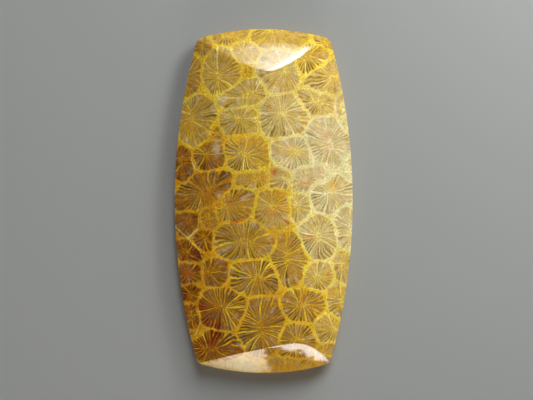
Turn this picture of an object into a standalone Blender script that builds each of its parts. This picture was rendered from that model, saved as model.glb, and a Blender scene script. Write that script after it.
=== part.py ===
"""An agatized coral cabochon: a long, barrel-shaped polished stone, domed on top and flat on its back.

The dome is a shallow arch along a crest that leans to one side. Each short end is ground down by
its own sloped, turned surface, which meets the dome in a crisp ridge. The origin is in the middle
of the flat back, +Y runs along the stone and +Z points out of the dome.
"""

import math

import bmesh
import bpy
import numpy as np

MM = 0.001

# The outline, seen from above
LENGTH = 48.3 * MM
WIDTH = 25.0 * MM
SIDE_RADIUS = 82.8 * MM  # the long sides bow out on this arc
END_RADIUS = 32.3 * MM  # and the short ends on this one
CORNER_RADIUS = 1.5 * MM
SIDE_STEPS = 14  # straight facets on half of one long side
CORNER_STEPS = 5
END_STEPS = 9  # on half of one short end

# Heights above the flat back
GIRDLE = 2.2 * MM  # the upright wall
DOME = 4.1 * MM  # rise of the crest over the wall, at mid-length
CREST_FALL_RADIUS = 250.0 * MM  # the crest drops towards both ends on this curve
BACK_BEVEL = 0.35 * MM  # the eased edge round the back

# The crest's distance to the +X side of the middle line, at the two ends
CREST_AT_TOP_END = 0.0 * MM
CREST_AT_LOW_END = 4.1 * MM

# An end slope rises from the rim by SLOPE * d - EASE * d * d, where d is the distance in from it
TOP_SLOPE = 0.84
TOP_EASE = 0.046 / MM
TOP_REACH = 6.6 * MM  # how far in the slope is ground
LOW_SLOPE = 0.87
LOW_EASE = 0.021 / MM
LOW_REACH = 5.6 * MM
SLOPE_STEPS = 9
TURN_STEPS = 200  # facets round a whole turned end

# The dome's block is a little larger than the outline, so that the outline trims it
DOME_MARGIN = 0.06  # share of the half-width
END_MARGIN = 1.0 * MM
DOME_COLUMNS = 28
DOME_ROWS = 30
BELOW = 2.0 * MM  # how far the trimming solids reach under the back
ABOVE = 12.0 * MM  # and how high they reach

SHARP_ANGLE = math.radians(14)
WELD = 0.001 * MM

STONE_COLOUR = (0.42, 0.25, 0.075, 1.0)
STONE_ROUGHNESS = 0.12


def clear_scene():
    for obj in list(bpy.data.objects):
        bpy.data.objects.remove(obj)


def make_collection(name):
    collection = bpy.data.collections.new(name)
    bpy.context.scene.collection.children.link(collection)
    return collection


def add_object(name, mesh, collection):
    obj = bpy.data.objects.new(name, mesh)
    collection.objects.link(obj)
    return obj


def hide_cutter(obj):
    obj.hide_render = True
    obj.display_type = "WIRE"


def half_width(y):
    """Half of the outline's width at a place along the stone, without the rounded corners."""
    return WIDTH / 2 - SIDE_RADIUS + np.sqrt(SIDE_RADIUS**2 - y**2)


def crest_x(y):
    """Where the crest stands at a place along the stone: a straight line that leans towards +X."""
    share = 0.5 - y / LENGTH
    return CREST_AT_TOP_END + (CREST_AT_LOW_END - CREST_AT_TOP_END) * share


def circle_meeting(first, first_radius, second, second_radius):
    """The point where two circles meet, on the left of the line from the first to the second."""
    dx = second[0] - first[0]
    dy = second[1] - first[1]
    apart = math.hypot(dx, dy)
    along = (apart**2 + first_radius**2 - second_radius**2) / (2 * apart)
    across = math.sqrt(first_radius**2 - along**2)
    return (
        first[0] + (along * dx - across * dy) / apart,
        first[1] + (along * dy + across * dx) / apart,
    )


def arc(centre, radius, start, end, steps):
    """Points on an arc between two angles, the last one left out."""
    angles = np.linspace(start, end, steps, endpoint=False)
    x = centre[0] + radius * np.cos(angles)
    y = centre[1] + radius * np.sin(angles)
    return list(zip(x, y))


def outline_points():
    """The whole outline: a side, corner and end arc for one quarter, mirrored to the other three."""
    side = (WIDTH / 2 - SIDE_RADIUS, 0.0)
    end = (0.0, LENGTH / 2 - END_RADIUS)
    corner = circle_meeting(side, SIDE_RADIUS - CORNER_RADIUS, end, END_RADIUS - CORNER_RADIUS)
    off_side = math.atan2(corner[1] - side[1], corner[0] - side[0])
    off_end = math.atan2(corner[1] - end[1], corner[0] - end[0])
    quarter = arc(side, SIDE_RADIUS, 0.0, off_side, SIDE_STEPS)
    quarter += arc(corner, CORNER_RADIUS, off_side, off_end, CORNER_STEPS)
    quarter += arc(end, END_RADIUS, off_end, math.pi / 2, END_STEPS)
    quarter.append((0.0, LENGTH / 2))
    left = [(-x, y) for x, y in reversed(quarter[:-1])]
    upper = quarter + left
    lower = [(-x, -y) for x, y in upper[1:-1]]
    return upper + lower


def make_outline_block(collection):
    """The outline as a flat curve, extruded to a block whose back edge is eased."""
    points = outline_points()
    curve = bpy.data.curves.new("outline", "CURVE")
    curve.dimensions = "2D"
    curve.fill_mode = "BOTH"
    curve.extrude = ABOVE / 2 - BACK_BEVEL
    curve.bevel_depth = BACK_BEVEL
    curve.bevel_resolution = 1
    curve.offset = -BACK_BEVEL
    spline = curve.splines.new("POLY")
    spline.points.add(len(points) - 1)
    for point, (x, y) in zip(spline.points, points):
        point.co = (x, y, 0.0, 1.0)
    spline.use_cyclic_u = True
    guide = add_object("outline", curve, collection)
    guide.location.z = ABOVE / 2
    bpy.context.view_layer.update()
    graph = bpy.context.evaluated_depsgraph_get()
    mesh = bpy.data.meshes.new_from_object(guide.evaluated_get(graph))
    mesh.transform(guide.matrix_world)
    bpy.data.objects.remove(guide)
    whole = bmesh.new()
    whole.from_mesh(mesh)
    bmesh.ops.remove_doubles(whole, verts=whole.verts, dist=WELD)
    bmesh.ops.recalc_face_normals(whole, faces=whole.faces)
    whole.to_mesh(mesh)
    whole.free()
    return mesh


def make_dome_block(collection):
    """A block whose top is the dome: an arch of u squared on each side of the leaning crest."""
    grid = bmesh.new()
    bmesh.ops.create_grid(grid, x_segments=DOME_COLUMNS, y_segments=DOME_ROWS, size=1.0)
    reach = LENGTH / 2 + END_MARGIN
    for vert in grid.verts:
        u = vert.co.x * (1 + DOME_MARGIN)
        y = vert.co.y * reach
        crest = crest_x(y)
        side = half_width(y) - crest if u > 0 else half_width(y) + crest
        rise = DOME - y**2 / (2 * CREST_FALL_RADIUS)
        vert.co = (crest + u * side, y, GIRDLE + rise * (1 - u**2))
    skirt = bmesh.ops.extrude_face_region(grid, geom=grid.faces[:])
    for item in skirt["geom"]:
        if isinstance(item, bmesh.types.BMVert):
            item.co.z = -BELOW
    bmesh.ops.recalc_face_normals(grid, faces=grid.faces)
    mesh = bpy.data.meshes.new("dome_block")
    grid.to_mesh(mesh)
    grid.free()
    block = add_object("dome_block", mesh, collection)
    hide_cutter(block)
    return block


def make_end_block(name, y, slope, ease, reach, collection):
    """A turned solid whose rim slope is one ground end, on an upright axis at the end arc's centre."""
    in_from_rim = np.linspace(reach, 0.0, SLOPE_STEPS)
    profile = [(0.0, ABOVE), (END_RADIUS - 1.6 * reach, ABOVE)]
    for d in in_from_rim:
        profile.append((END_RADIUS - d, GIRDLE + slope * d - ease * d**2))
    profile.append((END_RADIUS + END_MARGIN, GIRDLE - slope * END_MARGIN))
    profile.append((END_RADIUS + END_MARGIN, -BELOW))
    profile.append((0.0, -BELOW))
    mesh = bpy.data.meshes.new(name)
    edges = [(i, i + 1) for i in range(len(profile) - 1)]
    mesh.from_pydata([(r, 0.0, z) for r, z in profile], edges, [])
    block = add_object(name, mesh, collection)
    block.location.y = y
    turn = block.modifiers.new("Turn", "SCREW")
    turn.steps = TURN_STEPS
    turn.render_steps = TURN_STEPS
    turn.use_merge_vertices = True
    turn.merge_threshold = WELD
    hide_cutter(block)
    return block


def intersect(obj, cutter):
    modifier = obj.modifiers.new("Trim to " + cutter.name, "BOOLEAN")
    modifier.operation = "INTERSECT"
    modifier.solver = "EXACT"
    modifier.object = cutter


def settle(obj):
    """Keeps the evaluated mesh as the object's own, shaded smooth but for its ridges and edges."""
    bpy.context.view_layer.update()
    graph = bpy.context.evaluated_depsgraph_get()
    mesh = bpy.data.meshes.new_from_object(obj.evaluated_get(graph))
    obj.modifiers.clear()
    obj.data = mesh
    mesh.shade_smooth()
    mesh.set_sharp_from_angle(angle=SHARP_ANGLE)


def stone_material():
    material = bpy.data.materials.new("polished_coral_stone")
    material.use_nodes = True
    shader = material.node_tree.nodes["Principled BSDF"]
    shader.inputs["Base Color"].default_value = STONE_COLOUR
    shader.inputs["Roughness"].default_value = STONE_ROUGHNESS
    shader.inputs["Metallic"].default_value = 0.0
    material.diffuse_color = STONE_COLOUR
    return material


def make_stone(parts, cutters):
    """The outline block trimmed to the dome and to both ground ends."""
    stone = add_object("cabochon", make_outline_block(parts), parts)
    end_centre = LENGTH / 2 - END_RADIUS
    intersect(stone, make_dome_block(cutters))
    intersect(
        stone,
        make_end_block("top_end_block", end_centre, TOP_SLOPE, TOP_EASE, TOP_REACH, cutters),
    )
    intersect(
        stone,
        make_end_block("low_end_block", -end_centre, LOW_SLOPE, LOW_EASE, LOW_REACH, cutters),
    )
    settle(stone)
    stone.data.materials.clear()
    stone.data.materials.append(stone_material())


def main():
    clear_scene()
    parts = make_collection("agatized_coral_cabochon")
    cutters = make_collection("cutters")
    make_stone(parts, cutters)


main()
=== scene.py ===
"""An agatized coral cabochon, polished: its fine surface, its fossil coral pattern and a plain studio."""

import math

import bpy
import numpy as np
from bpy.props import FloatProperty, FloatVectorProperty, PointerProperty
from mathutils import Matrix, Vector


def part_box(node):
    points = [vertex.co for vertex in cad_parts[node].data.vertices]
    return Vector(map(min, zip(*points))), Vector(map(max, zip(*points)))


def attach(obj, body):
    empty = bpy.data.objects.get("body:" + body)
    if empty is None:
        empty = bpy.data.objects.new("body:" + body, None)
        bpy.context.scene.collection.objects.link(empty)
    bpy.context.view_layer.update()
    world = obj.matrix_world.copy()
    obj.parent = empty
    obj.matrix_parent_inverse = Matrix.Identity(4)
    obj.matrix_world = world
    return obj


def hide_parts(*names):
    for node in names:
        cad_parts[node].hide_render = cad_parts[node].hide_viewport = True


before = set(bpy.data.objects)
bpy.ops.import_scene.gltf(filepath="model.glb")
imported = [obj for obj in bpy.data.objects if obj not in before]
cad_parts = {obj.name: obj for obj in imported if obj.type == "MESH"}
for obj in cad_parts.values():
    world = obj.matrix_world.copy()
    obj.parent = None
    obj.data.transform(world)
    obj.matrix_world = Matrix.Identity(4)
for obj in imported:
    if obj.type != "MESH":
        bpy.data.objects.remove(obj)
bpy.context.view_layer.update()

bl_info = {
    "name": "Agatized coral cabochon",
    "version": (1, 0, 0),
    "blender": (4, 5, 0),
    "location": "3D View > Sidebar > Cabochon",
    "description": "Makes a polished barrel cabochon of agatized coral and a plain studio round it",
    "category": "Object",
}

MM = 0.001
LOW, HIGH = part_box("cabochon")
LENGTH = HIGH[1] - LOW[1]
WIDTH = HIGH[0] - LOW[0]
HEIGHT = HIGH[2] - LOW[2]

# The outline's arcs and the heights, as the solid has them
SIDE_RADIUS = 82.8 * MM
END_RADIUS = 32.3 * MM
CORNER_RADIUS = 1.5 * MM
GIRDLE = 2.2 * MM
CREST_FALL_RADIUS = 250.0 * MM
BACK_BEVEL = 0.35 * MM
CREST_AT_TOP_END = 0.0 * MM
CREST_AT_LOW_END = 4.1 * MM
TOP_SLOPE = 0.84
TOP_EASE = 0.046 / MM
LOW_SLOPE = 0.87
LOW_EASE = 0.021 / MM

# From this share of the way to its own crest, an end slope runs on straight and a little steeper, so that it
# stays above the arch
STRAIGHT_FROM = 0.85
EXTRA_STEEP = 0.15

# The mesh's cells: across and along the dome, and rows down the wall
ACROSS = 176
ALONG = 340
EASE_ROWS = 3
WALL_ROWS = 6
BEVEL_ROWS = 4
SLOPE_STEP = 0.02 * MM

# The camera looks straight down. The photograph shows this much of the floor across its width
IMAGE_WIDTH = 533
IMAGE_HEIGHT = 400
MM_PER_PIXEL = 0.1404
STONE_PIXEL_X = 263.7
STONE_PIXEL_Y = 201.0
LENS = 100.0
SENSOR = 36.0

# Each corallite, in mm and degrees: where its middle is, its half-width and half-height, its turn, and how
# far its centre of growth is from its middle. Then from 0 to 1: how pale it is, how dark between its septa,
# and how clear the septa are. Last, in degrees from +X towards +Y, the side on which its painted shade is
# darkest
CORALLITES = (
    (-5.6, 18.2, 2.8, 3.4, 0, -0.8, -0.8, 0.44, 0.4, 0.7, 230),
    (-10.2, 17.6, 1.3, 2.8, -10, -1.0, -0.3, 0.30, 0.4, 0.5, 240),
    (-8.5, 21.6, 1.2, 1.3, 0, -0.1, 0.1, 0.32, 0.2, 0.3, 225),
    (-4.7, 23.0, 2.5, 1.2, 10, -0.3, 0.2, 0.42, 0.2, 0.3, 225),
    # Its paleness is partly painted highlight, under the top slope's reflection
    (-2.8, 20.5, 2.1, 1.8, -15, -0.1, 0.3, 0.50, 0.3, 0.6, 225),
    (-2.2, 17.9, 0.8, 0.9, 0, 0.0, 0.0, 0.30, 0.2, 0.2, 225),
    (-2.8, 14.9, 3.4, 2.0, 22, 0.8, -0.2, 0.55, 0.4, 0.6, 45),
    (-3.4, 11.0, 2.7, 2.1, 0, 0.2, 0.4, 0.53, 0.4, 0.7, 225),
    (-9.2, 11.0, 2.5, 3.5, 0, -1.0, 0.7, 0.42, 0.45, 0.85, 25),
    (-6.8, 9.5, 0.9, 1.1, 0, -0.1, -0.1, 0.20, 0.5, 0.3, 225),
    (2.1, 22.8, 3.9, 1.7, 0, -0.5, 1.2, 0.48, 0.2, 0.5, 180),
    (1.8, 18.0, 3.0, 3.1, 0, 1.1, 0.1, 0.60, 0.4, 0.4, 225),
    (6.7, 19.8, 2.6, 1.9, 45, -0.7, 0.2, 0.42, 0.9, 1.0, 250),
    (8.4, 22.2, 1.3, 1.0, 0, 0.2, 0.0, 0.42, 0.3, 0.4, 225),
    (8.8, 17.2, 2.9, 2.2, 20, 1.2, 0.2, 0.57, 0.3, 0.4, 200),
    (7.3, 13.7, 2.6, 1.7, -18, 0.2, 0.1, 0.60, 0.3, 0.3, 190),
    (10.9, 13.2, 0.8, 1.5, 0, 0.1, -0.1, 0.70, 0.2, 0.4, 225),
    (11.5, 11.0, 0.6, 1.2, 0, 0.1, -0.3, 0.80, 0.2, 0.3, 225),
    (2.8, 11.6, 3.3, 3.1, 0, -0.3, 0.5, 0.65, 0.35, 0.6, 225),
    (-2.3, 6.6, 3.0, 2.5, -20, -0.4, -0.2, 0.42, 0.45, 0.8, 215),
    (-7.6, 6.5, 2.1, 2.2, 0, -0.4, 0.0, 0.15, 0.7, 0.6, 235),
    (-11.2, 5.2, 1.2, 2.2, 0, -0.3, 0.4, 0.10, 0.8, 0.5, 200),
    (-8.4, 1.3, 4.3, 2.2, 28, 0.5, 0.1, 0.15, 0.8, 0.7, 30),
    (-1.5, 3.1, 2.5, 1.1, 12, 0.6, 0.1, 0.40, 0.4, 0.5, 225),
    (2.1, 3.2, 1.7, 1.3, -15, 0.9, 0.1, 0.60, 0.3, 0.4, 250),
    (-4.0, -0.7, 2.9, 2.2, 18, -1.0, 0.0, 0.30, 0.6, 0.6, 215),
    (3.9, 6.8, 2.8, 2.4, -10, 0.4, 0.0, 0.80, 0.25, 0.7, 270),
    (8.9, 8.1, 3.0, 3.7, 15, 0.4, -0.3, 0.85, 0.25, 0.35, 205),
    (5.6, 2.9, 1.6, 1.7, 0, 0.2, -0.4, 0.75, 0.15, 0.3, 225),
    (8.4, 3.5, 1.0, 1.5, 10, -0.1, -0.1, 0.85, 0.1, 0.2, 225),
    (9.4, 1.1, 3.1, 2.4, 15, -0.2, 0.1, 0.80, 0.35, 0.75, 215),
    (11.8, 4.5, 0.7, 1.5, 0, 0.1, -0.1, 0.90, 0.2, 0.3, 225),
    (-2.8, -5.5, 4.1, 2.7, 0, 0.2, -0.1, 0.30, 0.5, 0.8, 220),
    (-10.5, -3.1, 1.6, 1.8, 0, 0.1, 0.5, 0.10, 0.5, 0.2, 30),
    (-8.5, -5.3, 1.6, 1.3, -35, 0.3, 0.1, 0.05, 0.6, 0.6, 30),
    (-7.6, -2.3, 1.1, 1.4, 0, -0.1, 0.2, 0.15, 0.3, 0.2, 225),
    (-10.5, -7.1, 1.9, 1.3, -35, -0.4, 0.0, 0.10, 0.9, 0.7, 20),
    (-6.6, -10.1, 1.9, 1.8, 0, -1.2, 0.2, 0.10, 0.5, 0.6, 20),
    (-10.2, -10.3, 1.6, 1.6, 0, -0.5, 0.2, 0.10, 0.6, 0.4, 225),
    (1.2, -1.3, 2.5, 2.6, 0, 0.0, 0.5, 0.45, 0.4, 0.4, 250),
    (5.0, -0.8, 1.4, 1.9, -10, -0.4, 0.2, 0.65, 0.4, 0.8, 225),
    (7.6, -5.2, 2.6, 3.0, 10, -0.1, 0.3, 0.70, 0.6, 0.9, 235),
    (11.3, -3.6, 1.2, 3.0, 0, 0.8, -0.5, 0.80, 0.5, 1.0, 200),
    (3.8, -8.2, 2.3, 3.7, 5, -0.6, 0.4, 0.30, 0.5, 0.7, 240),
    (10.9, -9.2, 1.2, 2.2, 0, 0.1, 0.2, 0.60, 0.3, 0.4, 225),
    (7.5, -10.5, 2.4, 2.1, 0, -0.1, 0.0, 0.57, 0.35, 0.6, 260),
    (-1.5, -10.7, 3.5, 2.6, -10, 0.7, 0.1, 0.25, 0.7, 0.9, 10),
    (-5.6, -15.0, 3.7, 2.9, 0, -0.2, 0.2, 0.15, 0.9, 1.0, 215),
    (-10.1, -12.8, 1.2, 1.6, 0, -0.2, -0.3, 0.05, 0.7, 0.5, 225),
    (-10.0, -16.1, 1.0, 1.9, 10, -0.1, 0.1, 0.05, 0.7, 0.6, 0),
    (-6.6, -20.4, 3.4, 2.2, 0, -0.9, -0.3, 0.10, 0.9, 1.0, 95),
    (-9.5, -18.6, 0.6, 0.6, 0, 0.0, 0.0, 0.20, 0.5, 0.3, 225),
    (-0.3, -17.2, 3.2, 4.2, 0, -0.1, -0.4, 0.20, 0.5, 0.9, 215),
    (5.6, -14.4, 3.0, 2.5, 0, -0.4, 0.1, 0.25, 0.4, 0.7, 240),
    (4.6, -18.9, 2.8, 2.1, 0, 0.2, -0.3, 0.25, 0.5, 0.7, 20),
    (10.3, -14.0, 1.5, 2.6, 10, 0.8, -0.2, 0.50, 0.3, 0.5, 225),
    (8.9, -17.7, 2.1, 2.0, 0, 1.0, -0.2, 0.50, 0.3, 0.5, 225),
    (8.7, -21.1, 1.1, 1.2, 0, -0.5, 0.0, 0.35, 0.3, 0.4, 225),
    (4.4, -20.9, 2.4, 0.9, -5, 0.0, 0.3, 0.30, 1.0, 0.9, 270),
    # Its light tone, with no dark between its septa, and the gold stain over it are partly painted light on
    # the near end slope
    (3.9, -24.6, 4.6, 2.6, -6, -0.1, -0.5, 0.42, 0.0, 0.6, 90),
    # Its paleness and faint septa are partly painted reflection, under the near slope's cream reflection
    (-4.5, -24.4, 4.3, 2.3, -5, -0.2, 0.0, 0.70, 0.1, 0.2, 90),
)

# Stains in the stone, in mm: where each one is, its half-width and half-height, and how strong it is
RED_STAINS = (
    (-4.6, -0.1, 0.35, 0.15, 0.9),
    (-8.0, 1.35, 0.25, 0.2, 0.7),
    (1.5, 4.0, 0.3, 0.35, 0.9),
    (-4.3, -2.95, 0.4, 0.2, 0.8),
    (-3.7, -2.85, 0.45, 0.22, 1.0),
    (-3.0, -2.65, 0.4, 0.2, 0.8),
    (3.4, -3.1, 0.5, 0.4, 0.45),
    (2.4, -0.4, 0.4, 0.3, 0.3),
    (6.3, -4.8, 0.6, 0.3, 0.6),
    (5.9, 2.4, 0.7, 0.5, 0.45),
    (1.3, -1.5, 1.2, 0.8, 0.25),
    (9.0, 7.8, 1.0, 1.2, 0.2),
    (8.7, 9.3, 0.8, 0.5, 0.2),
    (-7.1, -20.2, 0.4, 0.3, 0.75),
    (-8.4, -15.0, 0.8, 0.4, 0.4),
    (-10.6, -10.2, 0.6, 0.6, 0.45),
)
MAROON_STAINS = (
    (-8.5, -20.4, 2.2, 1.9, 0.85),
    (-6.8, -17.9, 0.9, 1.7, 1.0),
    (-8.9, -15.0, 1.0, 1.2, 0.9),
    (-7.9, -16.9, 1.3, 0.8, 0.7),
    (-10.6, -12.4, 1.2, 1.6, 0.6),
    (-10.9, -7.0, 1.6, 1.5, 0.5),
    (-9.2, -7.5, 0.8, 1.2, 0.8),
    (-9.4, -9.3, 0.8, 0.8, 0.6),
    (-10.3, -2.4, 1.3, 1.2, 0.4),
    (-7.6, 4.5, 2.0, 0.9, 0.25),
)
GOLD_STAINS_AND_PAINTED_LIGHT = (
    (4.0, 6.7, 1.3, 0.7, 0.9),
    (2.0, 7.2, 0.8, 0.8, 0.6),
    (9.6, 2.1, 1.1, 0.5, 0.9),
    (1.7, 8.3, 0.5, 0.6, 0.8),
    (2.3, 1.0, 1.5, 0.7, 0.9),
    (3.7, -0.8, 0.6, 1.3, 0.8),
    (0.5, 3.4, 1.0, 1.0, 0.8),
    (0.2, 6.9, 0.5, 0.8, 0.6),
    (-1.6, 2.8, 2.2, 0.8, 0.5),
    # This stain on the near end slope is partly painted light there
    (4.3, -23.9, 4.6, 1.9, 1.0),
    (-10.6, 10.3, 1.2, 1.4, 0.5),
    (-3.4, -0.6, 2.6, 1.5, 0.3),
    (-6.6, 0.2, 1.6, 1.0, 0.6),
    (-3.0, 8.6, 2.5, 0.8, 0.5),
    (1.0, -4.4, 1.6, 1.0, 0.5),
)
GREY_STAINS = (
    (-6.2, 0.8, 0.4, 0.35, 0.8),
    (-6.5, 7.4, 0.5, 0.9, 1.3),
    (1.5, -2.4, 1.0, 0.7, 0.35),
    (-2.4, 0.5, 0.5, 0.4, 0.5),
    (7.6, 4.0, 0.6, 1.0, 0.9),
)

# Crumbly places, where loose matter hides the septa, and places of haze, where little shows through the
# stone.
# The four at the two ends, near y = ±20 mm and beyond, lie under the lamps' reflections and pale the stone
# there as painted reflection. Their rows are like those of the stains
CRUMBLY = (
    (-2.3, 18.0, 1.2, 1.1, 0.6),
    (-2.9, 8.8, 2.6, 0.6, 0.5),
    (-0.9, 11.7, 0.6, 2.4, 0.6),
    (-7.6, -2.6, 1.5, 1.8, 0.45),
    (-6.2, -0.2, 1.0, 0.9, 0.5),
    (-0.6, 5.1, 0.7, 0.4, 1.0),
    (-8.9, -4.0, 0.4, 0.3, 1.0),
    (-7.2, 9.4, 0.9, 1.0, 0.8),
    (8.6, 5.0, 1.4, 0.6, 0.6),
    (11.5, 4.4, 0.8, 1.3, 0.6),
    (1.2, 5.0, 1.6, 0.6, 0.7),
    (11.1, -7.0, 1.0, 0.7, 0.7),
    (4.0, 2.0, 0.8, 1.4, 0.5),
    (2.4, -3.9, 1.8, 0.7, 0.5),
    (0.9, -12.9, 0.7, 0.7, 0.6),
    (-9.3, -18.2, 0.9, 0.9, 0.7),
)
HAZE_AND_PAINTED_REFLECTION = (
    (5.2, -20.1, 4.0, 0.55, 1.3),
    (-2.8, 20.5, 2.0, 1.2, 0.6),
    (3.2, 20.6, 3.4, 1.3, 0.8),
    (-4.6, -23.8, 5.0, 2.2, 1.3),
    (-3.0, 12.2, 1.4, 0.8, 0.7),
    (-1.9, 10.2, 0.8, 0.9, 0.6),
    (0.8, -2.6, 1.8, 1.1, 0.7),
    (5.2, 3.8, 1.1, 0.8, 0.6),
    (2.2, 15.9, 2.0, 0.9, 0.6),
    (10.2, 15.0, 1.2, 2.2, 0.4),
    (-8.8, 12.8, 1.2, 0.9, 0.5),
    (-2.2, -4.6, 1.4, 0.6, 0.4),
)

# Fine pale lines, in mm: the ends of each straight piece and how strong it is. The first three pieces are
# a healed crack
PALE_LINES = (
    (-12.4, -3.6, -10.6, -5.2, 0.8),
    (-10.6, -5.2, -8.9, -6.9, 0.7),
    (-8.9, -6.9, -8.3, -8.5, 0.6),
    (-11.9, -6.1, -10.6, -5.2, 0.4),
    (-10.6, -5.2, -9.2, -3.9, 0.9),
    (-9.2, -3.9, -9.0, -2.4, 0.6),
    (-8.9, -17.0, -9.3, -18.2, 0.7),
    (-9.3, -18.2, -9.9, -19.1, 0.7),
    (-9.6, -19.3, -8.4, -20.6, 0.5),
    (5.3, -9.6, 5.8, -10.6, 0.6),
    (-10.1, 6.0, -9.9, 5.0, 0.8),
    (-9.9, 5.0, -9.5, 4.35, 0.9),
    (-9.5, 4.35, -8.6, 4.1, 0.7),
)

# The pattern leans a little as it goes down into the stone: mm sideways for each mm of depth
LEAN_X = 0.12
LEAN_Y = -0.22
GRAIN_DEPTH = 0.15  # mm that the noises change for each mm of depth
WALL_WAVER = 0.12  # mm that the walls waver
WALL_REACH = 0.6  # mm past a corallite's rim at which its own wall stands, with loose matter beyond
CORNER_EASE = 0.14  # mm: how far the matter rounds off the corners where three walls meet
TONE_BLEND = 0.35  # mm over which the tones of neighbours blend in the wall between them
GROWTH_LINE = 0.4  # the centre of growth is a line, this share of the distance between the ellipse's foci
SHORTEST_LINE = 0.05  # mm: half the length of the shortest such line
FEWEST_PAIRS = 5  # pairs of septa in the smallest corallite
LINE_FADE = 0.3  # mm past its end over which a pale line fades
LINE_SIDE = 0.5  # mm on either side of a pale line within which it is drawn
SEED_STEP = 7.31  # between the numbers of two corallites, so that their noises are unlike

# The studio, in degrees and metres: where the soft light on the right stands, its side, and half the floor's
FILL_AZIMUTH = 50.0  # from +X towards +Y
FILL_ELEVATION = 28.0
FILL_DISTANCE = 0.16
FILL_SIZE = 0.10
FLOOR_HALF = 0.6


def display(red, green, blue):
    """A colour in a screen's 0 to 255 steps as linear shares of light."""
    steps = np.array([red, green, blue]) / 255
    linear = np.where(steps > 0.04045, ((steps + 0.055) / 1.055) ** 2.4, steps / 12.92)
    return tuple(float(share) for share in linear)


def length_setting(name, description, default):
    return FloatProperty(
        name=name, description=description, default=default, min=0.0, unit="LENGTH", precision=5
    )


def brightness_setting(name, description, default):
    return FloatProperty(name=name, description=description, default=default, min=0.0)


def colour_setting(name, description, default):
    return FloatVectorProperty(
        name=name, description=description, default=default, size=3, min=0.0, max=1.0, subtype="COLOR"
    )


class StoneSettings(bpy.types.PropertyGroup):
    """Sizes and colours of the stone."""

    ridge_ease: length_setting("Ridge ease", "How far the polish rounds the ridges", 0.035 * MM)
    girdle_ease: length_setting("Girdle ease", "How far the polish rounds the dome's rim", 0.06 * MM)
    septa_spacing: length_setting("Septa spacing", "Distance between septa at a corallite's rim", 0.56 * MM)
    septum: length_setting("Septum", "Thickness of a septum", 0.16 * MM)
    wall: length_setting("Wall", "Thickness of the wall between corallites", 0.36 * MM)
    amber: colour_setting("Amber", "The stone between septa where it is deepest", display(128, 62, 2))
    tan: colour_setting("Tan", "The stone between septa halfway", display(190, 150, 60))
    grey: colour_setting("Pale grey", "The stone between septa where it is palest", display(191, 176, 134))
    # Brown, umber and olive also carry the painted shade on one side of each corallite
    brown: colour_setting("Brown", "The darkest places between septa", display(70, 30, 8))
    umber: colour_setting("Umber", "The darker places between septa halfway", display(116, 82, 28))
    olive: colour_setting("Olive", "The darker places in pale corallites", display(140, 122, 62))
    gold: colour_setting("Gold", "Walls and septa where the stone is deepest", display(212, 138, 8))
    straw: colour_setting("Straw", "Walls and septa halfway", display(238, 204, 49))
    cream: colour_setting("Cream", "Walls and septa where the stone is palest", display(240, 231, 178))
    red: colour_setting("Red", "The iron-red stains", display(186, 50, 20))
    maroon: colour_setting("Maroon", "The dark red stone between septa", display(116, 34, 14))
    lilac: colour_setting("Lilac", "Cloudy chalcedony between septa", display(194, 163, 118))
    quartz: colour_setting("Quartz", "The clearest milky streaks between septa", display(228, 208, 164))


class StudioSettings(bpy.types.PropertyGroup):
    """Floor and light of the studio."""

    floor: colour_setting("Floor", "Colour of the floor", (0.274, 0.268, 0.254))
    window: brightness_setting("Window", "Brightness of the main light", 16.0)
    front: brightness_setting("Front", "Brightness of the low lights in front", 5.6)
    card: brightness_setting("Card", "Brightness of the low warm card", 9.5)
    fill: brightness_setting("Fill", "Brightness of the soft light on the right", 32.0)
    sky: brightness_setting("Sky", "Brightness all round", 0.03)


def outline_arcs():
    """For a quarter of the outline, from side to end: each arc's centre, radius, first and last angle."""
    side = (WIDTH / 2 - SIDE_RADIUS, 0.0)
    end = (0.0, LENGTH / 2 - END_RADIUS)
    apart = math.hypot(end[0] - side[0], end[1] - side[1])
    near = SIDE_RADIUS - CORNER_RADIUS
    far = END_RADIUS - CORNER_RADIUS
    along = (apart**2 + near**2 - far**2) / (2 * apart)
    across = math.sqrt(near**2 - along**2)
    dx = (end[0] - side[0]) / apart
    dy = (end[1] - side[1]) / apart
    corner = (side[0] + along * dx - across * dy, side[1] + along * dy + across * dx)
    off_side = math.atan2(corner[1] - side[1], corner[0] - side[0])
    off_end = math.atan2(corner[1] - end[1], corner[0] - end[0])
    return (
        (side, SIDE_RADIUS, 0.0, off_side),
        (corner, CORNER_RADIUS, off_side, off_end),
        (end, END_RADIUS, off_end, math.pi / 2),
    )


def quarter_rim(distance):
    """Arc centre, radius and angle at each distance along the quarter outline, from the side's middle."""
    start = 0.0
    centre_x = np.zeros_like(distance)
    centre_y = np.zeros_like(distance)
    radius = np.zeros_like(distance)
    angle = np.zeros_like(distance)
    for (cx, cy), arc_radius, first, last in outline_arcs():
        here = distance >= start
        centre_x[here] = cx
        centre_y[here] = cy
        radius[here] = arc_radius
        angle[here] = first + (distance[here] - start) / arc_radius
        start += arc_radius * (last - first)
    return centre_x, centre_y, radius, np.minimum(angle, math.pi / 2)


def quarter_lengths():
    """Lengths of the quarter outline up to the middle of its corner, and in all."""
    side, corner, end = (radius * (last - first) for _, radius, first, last in outline_arcs())
    return side + corner / 2, side + corner + end


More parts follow.
